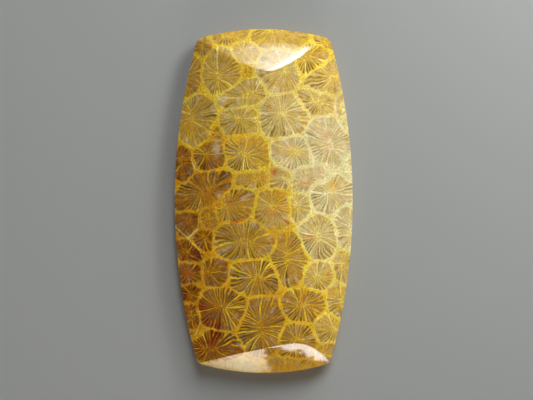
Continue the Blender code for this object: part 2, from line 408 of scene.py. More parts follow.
class Rim:
    """Points round the outline, anticlockwise from the low +X corner, that can be moved in from the edge.

    Each point keeps its arc's centre, radius and direction. Moved in by e, it stands at
    centre + (radius - e) * direction.
    """

    def __init__(self, across, along):
        to_corner, whole = quarter_lengths()
        up = np.linspace(-1, 1, along + 1)[:-1]
        left = np.linspace(1, -1, across + 1)[:-1]
        side_distance = np.abs(up) * to_corner
        end_distance = whole - np.abs(left) * (whole - to_corner)
        right_sign = np.sign(left + 1e-9)
        up_sign = np.sign(up + 1e-9)
        distance = np.concatenate([side_distance, end_distance, side_distance, end_distance])
        sign_x = np.concatenate([np.ones(along), right_sign, -np.ones(along), -right_sign])
        sign_y = np.concatenate([up_sign, np.ones(across), -up_sign, -np.ones(across)])
        cx, cy, self.radius, angle = quarter_rim(distance)
        self.centre = np.stack([cx * sign_x, cy * sign_y], axis=1)
        self.out = np.stack([np.cos(angle) * sign_x, np.sin(angle) * sign_y], axis=1)

    def moved_in(self, inset):
        """The points moved in by a distance, or by one distance for each."""
        return self.centre + (self.radius - inset)[:, None] * self.out


def barrel_grid(across, along, inset):
    """x and y of a grid that fills the outline, moved in by inset: rows run along, columns across.

    It is a Coons patch: x = s * side(t) + end(s) - s * corner, and the same for y with s and t exchanged,
    where side and end are the outline's right and top curves.
    """
    rim = Rim(across, along).moved_in(inset)
    side = rim[: along + 1]
    end = rim[along : along + across + 1][::-1]
    corner = rim[along]
    s = np.linspace(-1, 1, across + 1)[None, :]
    t = np.linspace(-1, 1, along + 1)[:, None]
    x = s * side[:, 0][:, None] + end[:, 0][None, :] - s * corner[0]
    y = side[:, 1][:, None] + t * (end[:, 1][None, :] - corner[1])
    return x, y


def dome_height(x, y, ease):
    """The polished top: the least of the arch and the two end slopes, blended where they meet.

    The arch rises to the crest as 1 - u * u, with u from 0 at the crest to 1 at the side. An end slope
    rises from the rim as slope * d - fall * d * d, with d the distance in from it. The blend is
    -k * log(sum of exp(-height / k)), where k is ease.
    """
    half = WIDTH / 2 - SIDE_RADIUS + np.sqrt(SIDE_RADIUS**2 - y**2)
    lean = 0.5 - y / LENGTH
    crest = CREST_AT_TOP_END + (CREST_AT_LOW_END - CREST_AT_TOP_END) * lean
    u = np.where(x > crest, (x - crest) / (half - crest), (crest - x) / (half + crest))
    rise = HEIGHT - GIRDLE - y**2 / (2 * CREST_FALL_RADIUS)
    heights = [rise * (1 - u**2)]
    end_y = LENGTH / 2 - END_RADIUS
    for centre_y, slope, fall in ((end_y, TOP_SLOPE, TOP_EASE), (-end_y, LOW_SLOPE, LOW_EASE)):
        d = END_RADIUS - np.hypot(x, y - centre_y)
        near = np.minimum(d, STRAIGHT_FROM * slope / (2 * fall))
        steep = slope - 2 * fall * near
        heights.append(slope * near - fall * near**2 + (steep + EXTRA_STEEP) * (d - near))
    return GIRDLE - ease * np.logaddexp.reduce(-np.stack(heights) / ease, axis=0)


def dome_normals(x, y, ease):
    """Upward normals of the top, from the differences of its height on either side."""
    step = SLOPE_STEP
    dx = (dome_height(x + step, y, ease) - dome_height(x - step, y, ease)) / (2 * step)
    dy = (dome_height(x, y + step, ease) - dome_height(x, y - step, ease)) / (2 * step)
    normals = np.stack([-dx, -dy, np.ones_like(dx)], axis=-1)
    return normals / np.linalg.norm(normals, axis=-1, keepdims=True)


def rim_indices(across, along):
    """Indices of a grid's edge vertices, anticlockwise from the low +X corner, to match Rim."""
    index = np.arange((along + 1) * (across + 1)).reshape(along + 1, across + 1)
    return np.concatenate([index[:-1, -1], index[-1, :0:-1], index[:0:-1, 0], index[0, :-1]])


def grid_quads(across, along, first=0):
    index = first + np.arange((along + 1) * (across + 1)).reshape(along + 1, across + 1)
    corners = [index[:-1, :-1], index[:-1, 1:], index[1:, 1:], index[1:, :-1]]
    return np.stack(corners, axis=-1).reshape(-1, 4)


def wall_profile(rim, edge, normals, inset):
    """Rows of points and normals from the dome's edge down the wall and round the back edge.

    The girdle's ease is an arc that starts with the dome's own slope: inward it is radius * (1 - cos(turn)),
    and upward radius * sin(turn). The back edge is a quarter circle.
    """
    outward = (normals[:, :2] * rim.out).sum(axis=1)
    first = np.arctan2(normals[:, 2], outward)
    radius = inset / (1 - np.cos(first))
    rows = []
    for k in range(1, EASE_ROWS + 1):
        turn = first * (1 - k / EASE_ROWS)
        fall = radius * (np.sin(first) - np.sin(turn))
        rows.append((radius * (1 - np.cos(turn)), edge[:, 2] - fall, turn))
    top = rows[-1][1]
    level = np.zeros_like(top)
    for k in range(1, WALL_ROWS + 1):
        rows.append((level, top + (BACK_BEVEL - top) * k / WALL_ROWS, level))
    for k in range(1, BEVEL_ROWS + 1):
        turn = level - math.pi / 2 * k / BEVEL_ROWS
        rows.append((BACK_BEVEL * (1 - np.cos(turn)), BACK_BEVEL * (1 + np.sin(turn)), turn))
    points = [np.column_stack([rim.moved_in(inward), z]) for inward, z, _ in rows]
    facing = [np.column_stack([rim.out * np.cos(turn)[:, None], np.sin(turn)]) for _, _, turn in rows]
    return points, facing


class Surface:
    """The stone's points, normals, quads and triangles: the top grid, the wall's rows and the back grid.

    finish is 0 on the polished top and wall and 1 on the flat back. depth is how far each point lies under
    the dome's height at the same place.
    """

    def __init__(self, ridge_ease, girdle_ease):
        x, y = barrel_grid(ACROSS, ALONG, girdle_ease)
        z = dome_height(x, y, ridge_ease)
        top = np.stack([x, y, z], axis=-1).reshape(-1, 3)
        top_normals = dome_normals(x, y, ridge_ease).reshape(-1, 3)
        rim = Rim(ACROSS, ALONG)
        ring = rim_indices(ACROSS, ALONG)
        points, normals = wall_profile(rim, top[ring], top_normals[ring], girdle_ease)
        quads = [grid_quads(ACROSS, ALONG)]
        count = len(top)
        for row in points:
            below = count + np.arange(len(row))
            quads.append(np.stack([ring, below, np.roll(below, -1), np.roll(ring, -1)], axis=-1))
            ring = below
            count += len(row)
        bx, by = barrel_grid(ACROSS // 2, ALONG // 2, 2 * BACK_BEVEL)
        back = np.stack([bx, by, np.zeros_like(bx)], axis=-1).reshape(-1, 3)
        quads.append(grid_quads(ACROSS // 2, ALONG // 2, count)[:, ::-1])
        self.points = np.concatenate([top, *points, back])
        self.normals = np.concatenate([top_normals, *normals, np.tile([0.0, 0.0, -1.0], (len(back), 1))])
        self.quads = np.concatenate(quads)
        self.triangles = self.back_ring(ring, count + rim_indices(ACROSS // 2, ALONG // 2))
        self.finish = np.zeros(len(self.points))
        self.finish[count:] = 1.0
        px, py, pz = self.points.T
        self.depth = np.maximum(dome_height(px, py, ridge_ease) - pz, 0.0)
        self.depth[: len(top)] = 0.0

    @staticmethod
    def back_ring(ring, inner):
        """Triangles between the wall's last row and the back grid's edge, which has half as many points."""
        first, middle, last = ring[::2], ring[1::2], np.roll(ring, -2)[::2]
        following = np.roll(inner, -1)
        return np.concatenate(
            [
                np.stack([first, inner, middle], axis=-1),
                np.stack([middle, inner, following], axis=-1),
                np.stack([middle, following, last], axis=-1),
            ]
        )

    def mesh(self, name):
        mesh = bpy.data.meshes.new(name)
        mesh.vertices.add(len(self.points))
        mesh.vertices.foreach_set("co", self.points.astype(np.float32).ravel())
        sizes = np.concatenate([np.full(len(self.quads), 4), np.full(len(self.triangles), 3)])
        mesh.loops.add(int(sizes.sum()))
        mesh.loops.foreach_set("vertex_index", self.corners().astype(np.int32))
        mesh.polygons.add(len(sizes))
        mesh.polygons.foreach_set("loop_start", (np.cumsum(sizes) - sizes).astype(np.int32))
        mesh.update(calc_edges=True)
        mesh.shade_smooth()
        mesh.normals_split_custom_set_from_vertices(self.normals.astype(np.float32))
        return mesh

    def corners(self):
        """The point of each face's corners, quads first."""
        return np.concatenate([self.quads.ravel(), self.triangles.ravel()])

    def faces_of_corners(self):
        """The face of each corner, in the same order."""
        quads = np.repeat(np.arange(len(self.quads)), 4)
        triangles = np.repeat(len(self.quads) + np.arange(len(self.triangles)), 3)
        return np.concatenate([quads, triangles])

    def face_means(self, values):
        """The mean of a point's values over each face."""
        return np.concatenate([values[self.quads].mean(axis=1), values[self.triangles].mean(axis=1)])


def waver(x, y, reach, first):
    """A smooth waver of about the given reach: the mean of eight sine waves of unlike heading and pitch."""
    k = np.arange(8)
    heading = 2.4 * k + first
    pitch = 2 * math.pi / (0.9 + 0.23 * k)
    along = x[..., None] * np.cos(heading) + y[..., None] * np.sin(heading)
    waves = np.sin(pitch * along + 1.7 * k * (first + 1))
    return reach * waves.mean(axis=-1) * 2


class Colony:
    """The corallites as a field over the stone, in mm.

    A corallite is an ellipse. At distance r from its middle the rim lies at r / q, where q is the ellipse's
    own measure of r, so r - r / q is how far outside it a point is. The wall between two corallites runs
    where both are equally far.
    """

    def __init__(self, septa_spacing):
        rows = np.array(CORALLITES)
        self.middle = rows[:, 0:2]
        self.half = rows[:, 2:4]
        self.turn = np.radians(rows[:, 4])
        self.tone = rows[:, 7:10]
        self.darkest = np.radians(rows[:, 10])
        upright = self.half[:, 1] > self.half[:, 0]
        self.growth = self.middle + rows[:, 5:7]
        self.growth_turn = self.turn + np.where(upright, math.pi / 2, 0.0)
        foci = np.sqrt(np.abs(self.half[:, 0] ** 2 - self.half[:, 1] ** 2))
        self.focus = np.maximum(GROWTH_LINE * foci, SHORTEST_LINE)
        rim = math.pi * self.half.sum(axis=1)
        self.pairs = np.maximum(np.round(rim / (2 * septa_spacing)), FEWEST_PAIRS)

    def outside(self, x, y):
        """For each point and corallite, how far outside the corallite the point is."""
        px = x[:, None] - self.middle[:, 0]
        py = y[:, None] - self.middle[:, 1]
        c, s = np.cos(self.turn), np.sin(self.turn)
        q = np.hypot((px * c + py * s) / self.half[:, 0], (py * c - px * s) / self.half[:, 1])
        return np.hypot(px, py) * (1 - 1 / np.maximum(q, 1e-3))

    def rays(self, x, y, own):
        """Direction and scale of the septa at each point of its corallite, and the distance to its centre.

        They follow the hyperbolas round a short line. With r1 and r2 the distances to its ends and c half
        its length, the direction's cosine is (r1 - r2) / 2c, the scale is sqrt(r1 * r2) and the distance is
        sqrt(mean(r1, r2)^2 - c^2).
        """
        px = x - self.growth[own, 0]
        py = y - self.growth[own, 1]
        c, s = np.cos(self.growth_turn[own]), np.sin(self.growth_turn[own])
        along, across = px * c + py * s, py * c - px * s
        focus = self.focus[own]
        r1 = np.hypot(along + focus, across)
        r2 = np.hypot(along - focus, across)
        cosine = np.clip((r1 - r2) / (2 * focus), -1, 1)
        sine = np.sqrt(1 - cosine**2) * np.where(across < 0, -1, 1)
        apart = np.sqrt(np.maximum(((r1 + r2) / 2) ** 2 - focus**2, 0))
        return np.stack([cosine, sine, np.sqrt(r1 * r2)], axis=-1), apart

    def shadow(self, x, y, own):
        """Painted shade on each side of a corallite: 0.6 + 0.4 cos t + 0.3 cos 2t.

        t is the angle round its centre of growth from the side on which it is darkest.
        """
        turn = np.arctan2(y - self.growth[own, 1], x - self.growth[own, 0]) - self.darkest[own]
        return 0.6 + 0.4 * np.cos(turn) + 0.3 * np.cos(2 * turn)


def blobs(x, y, places):
    """The strongest of several soft spots at each point: strength * exp(-(dx / a)^2 - (dy / b)^2)."""
    spots = []
    for cx, cy, a, b, strength in places:
        spots.append(strength * np.exp(-(((x - cx) / a) ** 2) - ((y - cy) / b) ** 2))
    return np.max(spots, axis=0)


def line_distance(x, y):
    """Signed distance in mm from the nearest pale line, and its strength there, fading past its ends."""
    best = np.full_like(x, np.inf)
    across = np.zeros_like(x)
    strength = np.zeros_like(x)
    for x0, y0, x1, y1, line_strength in PALE_LINES:
        length = math.hypot(x1 - x0, y1 - y0)
        tx, ty = (x1 - x0) / length, (y1 - y0) / length
        along = (x - x0) * tx + (y - y0) * ty
        side = (y - y0) * tx - (x - x0) * ty
        past = np.maximum(np.abs(along - length / 2) - length / 2, 0)
        away = np.hypot(side, past)
        nearer = away < best
        best[nearer] = away[nearer]
        across[nearer] = side[nearer]
        fading = line_strength * np.clip(1 - past / LINE_FADE, 0, 1) * (np.abs(side) < LINE_SIDE)
        strength[nearer] = fading[nearer]
    return across, strength


def set_attribute(mesh, name, domain, values):
    """Stores one vector, or one number, for each point, corner or face."""
    flat = values.ndim == 1
    attribute = mesh.attributes.new(name, "FLOAT" if flat else "FLOAT_VECTOR", domain)
    attribute.data.foreach_set("value" if flat else "vector", values.astype(np.float32).ravel())


def grow_colony(mesh, surface, septa_spacing):
    """Writes the coral's field onto the mesh, for the material to draw from.

    On each point, grain is its place in the colony in mm, finish is 1 on the back, line holds the distance
    from the nearest pale line, the line's strength and the haze, which at the two ends is painted
    reflection, stain the red, the paleness evened out between corallites and the grey, and deeper the
    maroon, the gold, in one place on the near end slope partly painted light, and the evened clearness.
    On each corner, for the face's own corallite, ray holds the septa's direction and scale, edge the
    distances to the wall's middle, to the centre of growth and to where its own wall ends, and fill the
    matter where walls meet, the painted shade on one side of the corallite and how crumbly the stone is.
    On each face, coral holds the corallite's pairs of septa and a number of its own, and tone how pale,
    dark and clear it is.
    """
    x, y, _ = surface.points.T / MM
    depth = surface.depth / MM
    x = x + LEAN_X * depth
    y = y + LEAN_Y * depth
    set_attribute(mesh, "grain", "POINT", np.column_stack([x, y, GRAIN_DEPTH * depth]))
    set_attribute(mesh, "finish", "POINT", surface.finish)
    set_attribute(mesh, "line", "POINT", np.column_stack([*line_distance(x, y), blobs(x, y, HAZE_AND_PAINTED_REFLECTION)]))

    colony = Colony(septa_spacing / MM)
    outside = colony.outside(x + waver(x, y, WALL_WAVER, 0.0), y + waver(x, y, WALL_WAVER, 1.0))
    weight = np.exp(-np.clip(outside - outside.min(axis=1, keepdims=True), 0, 20) / TONE_BLEND)
    evened, _, evened_clear = (weight @ colony.tone / weight.sum(axis=1)[:, None]).T
    stain = np.column_stack([blobs(x, y, RED_STAINS), evened, blobs(x, y, GREY_STAINS)])
    set_attribute(mesh, "stain", "POINT", stain)
    deeper = np.column_stack([blobs(x, y, MAROON_STAINS), blobs(x, y, GOLD_STAINS_AND_PAINTED_LIGHT), evened_clear])
    set_attribute(mesh, "deeper", "POINT", deeper)

    corners = surface.corners()
    own = surface.face_means(outside).argmin(axis=1)
    of_corner = own[surface.faces_of_corners()]
    order = np.argsort(outside, axis=1)[:, :3]
    nearest, second, third = np.take_along_axis(outside, order, axis=1)[corners].T
    here = outside[corners, of_corner]
    is_nearest = order[corners, 0] == of_corner
    is_second = order[corners, 1] == of_corner
    other = np.where(is_nearest, second, nearest)
    further = np.where(is_nearest | is_second, third, second)
    corner_fill = CORNER_EASE * np.log1p(np.exp(-(further - other) / 2 / CORNER_EASE))
    ray, apart = colony.rays(x[corners], y[corners], of_corner)
    set_attribute(mesh, "ray", "CORNER", ray)
    set_attribute(mesh, "edge", "CORNER", np.column_stack([(other - here) / 2, apart, WALL_REACH - here]))
    shadow = colony.shadow(x[corners], y[corners], of_corner)
    crumbly = blobs(x, y, CRUMBLY)[corners]
    set_attribute(mesh, "fill", "CORNER", np.column_stack([corner_fill, shadow, crumbly]))
    coral = np.column_stack([colony.pairs[own], own * SEED_STEP, np.zeros(len(own))])
    set_attribute(mesh, "coral", "FACE", coral)
    set_attribute(mesh, "tone", "FACE", colony.tone[own])


def maths_operator(operation, reflected=False):
    """A method that adds one Math node, for a wire and another wire or number."""

    def method(wire, other):
        pair = (other, wire) if reflected else (wire, other)
        return wire.paint.add("Math", {"operation": operation}, dict(enumerate(pair)))

    return method


class Wire:
    """A number in a material. Its operators add the Math nodes, so a formula is written as one."""

    __add__ = __radd__ = maths_operator("ADD")
    __sub__ = maths_operator("SUBTRACT")
    __rsub__ = maths_operator("SUBTRACT", reflected=True)
    __mul__ = __rmul__ = maths_operator("MULTIPLY")
    __truediv__ = maths_operator("DIVIDE")
    __rtruediv__ = maths_operator("DIVIDE", reflected=True)
    least = maths_operator("MINIMUM")
    most = maths_operator("MAXIMUM")

    def __init__(self, paint, socket):
        self.paint = paint
        self.socket = socket

    def maths(self, operation, *others):
        inputs = dict(enumerate((self, *others)))
        return self.paint.add("Math", {"operation": operation}, inputs)

    def __abs__(self):
        return self.maths("ABSOLUTE")

    def ramp(self, low, high, slope="SMOOTHSTEP"):
        """0 at low, 1 at high and an eased slope between. Low may be the greater of the two."""
        settings = {"interpolation_type": slope}
        return self.paint.add("MapRange", settings, {"Value": self, "From Min": low, "From Max": high})


class Paint:
    """A material's or a world's nodes, added one by one."""

    def __init__(self, owner):
        owner.use_nodes = True
        self.tree = owner.node_tree

    def feed(self, socket, value):
        if isinstance(value, Wire):
            self.tree.links.new(value.socket, socket)
        elif socket.type == "RGBA":
            socket.default_value = (*value, 1.0)
        else:
            socket.default_value = value

    def add(self, kind, settings, inputs, output=0):
        """Any node: its type, its settings, then its sockets' values or links. Gives one of its outputs."""
        node = self.tree.nodes.new("ShaderNode" + kind)
        for name, value in settings.items():
            setattr(node, name, value)
        for name, value in inputs.items():
            self.feed(node.inputs[name], value)
        return Wire(self, node.outputs[output])

    def attribute(self, name):
        """The three numbers of a mesh attribute."""
        return self.split(self.vector_attribute(name))

    def vector_attribute(self, name):
        return self.add("Attribute", {"attribute_name": name}, {}, "Vector")

    def split(self, vector):
        node = self.tree.nodes.new("ShaderNodeSeparateXYZ")
        self.feed(node.inputs[0], vector)
        return [Wire(self, socket) for socket in node.outputs]

    def vector(self, x, y, z):
        return self.add("CombineXYZ", {}, {0: x, 1: y, 2: z})

    def moved(self, vector, by):
        return self.add("VectorMath", {"operation": "ADD"}, {0: vector, 1: by})

    def cloud(self, vector, scale, detail=2.0, rough=0.5):
        """Soft noise from 0 to 1 with its mean near 0.5."""
        inputs = {"Vector": vector, "Scale": scale, "Detail": detail, "Roughness": rough}
        return self.add("TexNoise", {}, inputs)

    def chance(self, index, seed):
        """A random number from 0 to 1 that stays the same for an index and seed."""
        place = self.vector(index, seed, 0.5)
        return self.add("TexWhiteNoise", {"noise_dimensions": "3D"}, {"Vector": place})

    def mix(self, share, first, second, blend="MIX"):
        settings = {"data_type": "RGBA", "blend_type": blend}
        return self.add("Mix", settings, {0: share, 6: first, 7: second}, 2)

    def three(self, share, low, middle, high):
        """A colour that runs from low through middle, at one half, to high."""
        first = self.mix(share.ramp(0.0, 0.5, "LINEAR"), low, middle)
        return self.mix(share.ramp(0.5, 1.0, "LINEAR"), first, high)

    def shaded(self, colour, factor):
        """A colour made darker or lighter by a factor."""
        return self.add("VectorMath", {"operation": "SCALE"}, {0: colour, "Scale": factor})


class Coral:
    """The parts of the coral's material, each drawn from the field that the mesh carries."""

    def __init__(self, look, paint):
        self.look = look
        self.paint = paint
        self.grain = paint.vector_attribute("grain")
        self.cosine, self.sine, self.scale = paint.attribute("ray")
        wall_gap, self.apart, self.inside = paint.attribute("edge")
        self.pairs, self.seed, _ = paint.attribute("coral")
        self.pale, self.dark, self.clear = paint.attribute("tone")
        self.red, self.evened, self.grey = paint.attribute("stain")
        self.maroon, self.golden, self.evened_clear = paint.attribute("deeper")
        self.line, self.line_strength, self.hazy = paint.attribute("line")
        self.finish = paint.add("Attribute", {"attribute_name": "finish"}, {}, "Fac")
        self.fill, self.shadow, self.crumbly = paint.attribute("fill")
        # Noises, from coarse to fine
        self.broad = paint.cloud(self.grain, 0.42, 2.0)
        self.curl = paint.cloud(self.grain, 1.2, 1.0)
        self.crumb = paint.cloud(self.grain, 3.0, 2.0, 0.6)
        self.fleck = paint.cloud(self.grain, 5.2, 2.0, 0.6)
        self.drift = paint.cloud(paint.moved(self.grain, (3.1, 7.7, 1.3)), 0.85, 3.0, 0.6)
        # Distance in mm to the wall's middle, and the share of the way from the centre to the wall
        self.gap = (abs(wall_gap) - self.fill).least(self.inside)
        self.share = self.apart / (self.apart + self.gap.most(0.0) + 0.001)
        # Noise that runs out from the centre, about one wave for each septum
        turn = self.pairs * 0.2
        outward = paint.vector(self.cosine * turn, self.sine * turn, self.apart * 0.55 + self.seed)
        self.streak = paint.cloud(outward, 1.0, 3.0, 0.65)
        turn = self.pairs * 0.5
        hatched = paint.vector(self.cosine * turn, self.sine * turn, self.apart * 1.1 + self.seed)
        self.hatch = paint.cloud(hatched, 1.0, 2.0, 0.6)
        self.draw_septa()
        self.draw_walls()

    def draw_septa(self):
        """Septa: the angle counts them off, a slow waver bends them, and minor ones start partway out."""
        paint = self.paint
        angle = self.sine.maths("ARCTAN2", self.cosine) / (2 * math.pi)
        slow = paint.cloud(self.grain, 0.5, 0.0)
        count = angle * self.pairs + (slow - 0.5) * 0.8
        count = count + (self.curl - 0.5) * 0.22 + (self.crumb - 0.5) * 0.12
        pitch = self.scale / self.pairs * (2 * math.pi)
        major_index = (count + 0.5).maths("FLOOR")
        minor_index = count.maths("FLOOR")
        major_chance = paint.chance(major_index.maths("FLOORED_MODULO", self.pairs), self.seed)
        minor_chance = paint.chance(minor_index.maths("FLOORED_MODULO", self.pairs), self.seed + 0.37)
        from_major = abs(count - major_index + (minor_chance - 0.5) * 0.2) * pitch
        from_minor = abs(count - minor_index - 0.5) * pitch
        half = self.look.septum / MM / 2
        flare = self.gap.ramp(0.6, 0.15) * 0.04
        taper = self.share.ramp(0.0, 0.6) * 0.5 + 0.5
        major_width = half * (0.6 + 0.5 * major_chance) * taper + flare
        minor_width = half * (0.4 + 0.5 * minor_chance) + flare
        strong = 0.15 + 0.3 * self.clear + (0.85 - 0.3 * self.clear) * major_chance
        major = (from_major - major_width).ramp(0.06, -0.05) * strong
        reach = (self.share - (0.3 + 0.4 * minor_chance)).ramp(0.0, 0.12)
        strong = 0.05 + 0.2 * self.clear + 0.55 * minor_chance
        minor = (from_minor - minor_width).ramp(0.06, -0.05) * reach * strong
        along = 0.35 + 0.9 * self.streak + 0.6 * self.hatch
        septa = major.most(minor) * along * (0.25 + 0.7 * self.clear)
        septa = (septa * (1.12 - 0.58 * self.pale)).least(1.0)
        self.septa = septa * (1.15 - 0.7 * self.drift.ramp(0.45, 0.65))
        gap_index = (count * 2.0).maths("FLOOR").maths("FLOORED_MODULO", self.pairs * 2.0)
        self.gap_chance = paint.chance(gap_index, self.seed + 0.71)
        self.groove = (from_major.least(from_minor) / pitch).ramp(0.1, 0.22)
        self.septum_tone = (major_chance - 0.5) * 0.4

    def draw_walls(self):
        """Walls, lumpy and of uneven width, and the loose matter where they meet or stand apart."""
        thick = self.look.wall / MM / 2 * (0.9 + 0.4 * self.evened)
        lumps = (self.curl - 0.5) * 0.3 + (self.crumb - 0.5) * 0.42
        self.wall = (self.gap + lumps - thick).ramp(0.09, -0.10)
        loose = (self.fill * 6.0).most(self.inside.ramp(0.0, -0.3)).least(1.0)
        self.loose = loose * self.gap.ramp(0.4, 0.15)

    def light_ground(self):
        look = self.look
        return self.paint.three(self.pale, look.amber, look.tan, look.grey)

    def bright(self, tone):
        look = self.look
        return self.paint.three(tone, look.gold, look.straw, look.cream)

    def ground(self):
        """The stone between septa: darker towards the wall, with painted shade on one side of each
        corallite, and golden, cloudy, milky and maroon places.
        """
        look, paint = self.look, self.paint
        uneven = 1.1 * (self.gap_chance - 0.3) + 1.2 * (self.curl - 0.4) + 1.5 * (self.streak - 0.45)
        hollow = self.share.ramp(0.05, 0.7) * uneven * (0.3 + self.groove)
        # The dark between septa is the stone's own colour. The shadow term deepens it on one side of each
        # corallite as painted shade.
        depth = (hollow * self.shadow * (0.2 + self.dark) * 2.1).most(0.0).least(0.82)
        golden = self.drift.ramp(0.48, 0.3) * (0.5 - 0.34 * self.pale)
        ground = paint.mix(golden, self.light_ground(), self.bright(self.pale * 0.7))
        dark = paint.three(self.pale, look.brown, look.umber, look.olive)
        ground = paint.mix(depth, ground, dark)
        ground = paint.mix(self.golden * (0.1 + 0.9 * self.crumb), ground, self.bright(self.golden * 0.15))
        cloudy = self.drift.ramp(0.4, 0.62) * self.streak.ramp(0.3, 0.65) * (0.16 + 0.7 * self.pale)
        bare = 1 - self.golden * 0.7 - self.dark * 0.3
        ground = paint.mix(cloudy * bare, ground, look.lilac)
        milky = self.drift.ramp(0.44, 0.62) * self.streak.ramp(0.48, 0.66) * self.share.ramp(0.3, 0.7)
        milky = milky * (0.2 + 0.45 * self.pale)
        ground = paint.mix(milky * bare, ground, look.quartz)
        return paint.mix((self.maroon * (0.5 + 0.9 * self.streak)).least(0.95), ground, look.maroon)

    def cups(self):
        """Septa over the stone between them, with a spongy centre."""
        paint = self.paint
        tone = self.pale * 1.05 + self.septum_tone + (self.broad - 0.5) * 0.3
        bright = self.bright(tone + (self.streak - 0.5) * 0.4 - self.golden * 0.6)
        body = paint.mix(self.septa, self.ground(), bright)
        centre = (self.apart + (self.crumb - 0.5) * 1.2).ramp(0.8, 0.2) * 0.65
        core = paint.mix(self.crumb.ramp(0.35, 0.65), self.light_ground(), bright)
        return paint.mix(centre, body, core)

    def walled(self, body):
        """The walls, with pits and a duller middle, and crumbly matter, over what is given."""
        look, paint = self.look, self.paint
        tone = self.evened * (0.74 + 0.4 * self.evened) + 0.02 + (self.broad - 0.5) * 0.3
        tone = tone + (self.crumb - 0.5) * 1.1 - self.golden * 0.4
        tone = tone + (self.fleck - 0.5) * 0.9 + self.gap.ramp(0.04, 0.14) * 0.12
        middle = self.gap.ramp(0.12, 0.0) * 0.25 * (1 - self.loose)
        wall_colour = paint.mix(middle, self.bright(tone), look.tan)
        pits = self.fleck.ramp(0.52, 0.66) * (0.3 + 0.6 * self.loose)
        wall_colour = paint.mix(pits, wall_colour, look.umber)
        body = paint.mix(self.wall * (0.4 + 0.8 * self.evened_clear).least(0.94), body, wall_colour)
        grit = (self.crumb * 0.7 + self.fleck * 0.3).ramp(0.42, 0.58)
        pitted = paint.mix(0.4, self.light_ground(), self.bright(self.evened * 0.3))
        crumbs = paint.mix(grit, pitted, self.bright(tone - 0.2))
        crumbled = (self.crumbly * (0.5 + self.curl)).most(self.loose * 0.5)
        return paint.mix(crumbled.least(1.0), body, crumbs)

    def stained(self, body):
        """Haze, which at the two ends is painted reflection, maroon, grey and red places, and the fine pale
        lines, over what is given.
        """
        look, paint = self.look, self.paint
        # Haze pales the stone and hides its pattern; at the two ends it is painted reflection under the
        # highlights
        body = paint.mix((self.hazy * (0.2 + 1.3 * self.curl)).least(0.9), body, self.light_ground())
        body = paint.mix(self.maroon * self.curl.ramp(0.35, 0.65) * 0.5, body, look.maroon)
        body = paint.mix((self.grey * (0.5 + self.curl)).least(1.0), body, look.lilac)
        red = self.red * (0.4 + 1.1 * self.crumb) * (1 - 0.5 * self.septa)
        body = paint.mix(red.least(1.0), body, look.red)
        seam = abs(self.line + (self.curl - 0.5) * 0.2).ramp(0.13, 0.04) * self.line_strength
        seam = (seam * (self.fleck * 2.4 - 0.5)).most(0.0).least(1.0)
        return paint.mix(seam, body, self.bright(self.line_strength * 0.8))

    def colour(self):
        """All of it, with fine grain and light, dark, warm and cool places."""
        paint = self.paint
        body = self.stained(self.walled(self.cups()))
        grain = (self.fleck - 0.5) * (1.0 - 0.5 * self.wall) + (self.hatch - 0.5) * (1 - self.wall)
        grain = grain * (1.04 - 0.25 * self.evened)
        shade = 0.91 + self.wall * (0.11 - 0.22 * self.evened) + (self.broad - 0.5) * 0.42
        shade = shade + grain + (self.crumb - 0.5) * 0.36
        hue = paint.cloud(paint.moved(self.grain, (9.4, 2.2, 5.1)), 1.5, 3.0, 0.65) - 0.5
        tint = paint.vector(1.0 + hue * 0.4, 1.0 - hue * 0.2, 1.0 - hue * 0.5)
        return paint.mix(1.0, paint.shaded(body, shade), tint, "MULTIPLY")


def coral_material(look):
    """Fossil coral in polished stone: walls, septa, the clouded stone between them, stains and lines."""
    material = bpy.data.materials.new("agatized_coral")
    paint = Paint(material)
    coral = Coral(look, paint)
    shader = material.node_tree.nodes["Principled BSDF"].inputs
    paint.feed(shader["Base Color"], coral.colour())
    paint.feed(shader["Roughness"], 0.05 + 0.33 * coral.finish + 0.02 * coral.crumb)
    shader["IOR"].default_value = 1.54
    return material


def floor_material(colour):
    material = bpy.data.materials.new("floor_card")
    paint = Paint(material)
    shader = material.node_tree.nodes["Principled BSDF"].inputs
    paint.feed(shader["Base Color"], colour)
    shader["Roughness"].default_value = 0.9
    return material


def add_object(name, data):
    obj = bpy.data.objects.new(name, data)
    bpy.context.scene.collection.objects.link(obj)
    return obj


class CABOCHON_OT_stone(bpy.types.Operator):
    """Make the polished stone with its coral pattern"""

    bl_idname = "cabochon.stone"
    bl_label = "Make the stone"

    def execute(self, context):
        look = context.scene.cabochon_stone
        surface = Surface(look.ridge_ease, look.girdle_ease)
        mesh = surface.mesh("polished_stone")
        if len(mesh.loops) != len(surface.corners()):
            raise RuntimeError("The stone's faces didn't all reach the mesh")
        grow_colony(mesh, surface, look.septa_spacing)
        mesh.materials.append(coral_material(look))
        stone = add_object("polished_stone", mesh)
        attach(stone, "root")
        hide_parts("cabochon")
        return {"FINISHED"}


def make_fill(brightness):
    """A square light on the right that fades towards its borders and shows in no reflection.

    Its power is brightness * pi * area.
    """
    data = bpy.data.lights.new("right_fill", "AREA")
    data.size = FILL_SIZE
    data.energy = brightness * math.pi * FILL_SIZE**2
    data.color = (0.93, 1.0, 1.0)
    paint = Paint(data)
    u, v, _ = paint.split(paint.add("NewGeometry", {}, {}, "Parametric"))
    fade = u.ramp(0.0, 0.5) * u.ramp(1.0, 0.5) * v.ramp(0.0, 0.5) * v.ramp(1.0, 0.5)
    paint.feed(data.node_tree.nodes["Emission"].inputs["Strength"], fade)

    azimuth = math.radians(FILL_AZIMUTH)
    elevation = math.radians(FILL_ELEVATION)
    level = math.cos(elevation)
    away = Vector((math.cos(azimuth) * level, math.sin(azimuth) * level, math.sin(elevation)))
    light = add_object("right_fill", data)
    light.location = away * FILL_DISTANCE
    light.rotation_euler = away.to_track_quat("Z", "Y").to_euler()
    light.visible_glossy = False


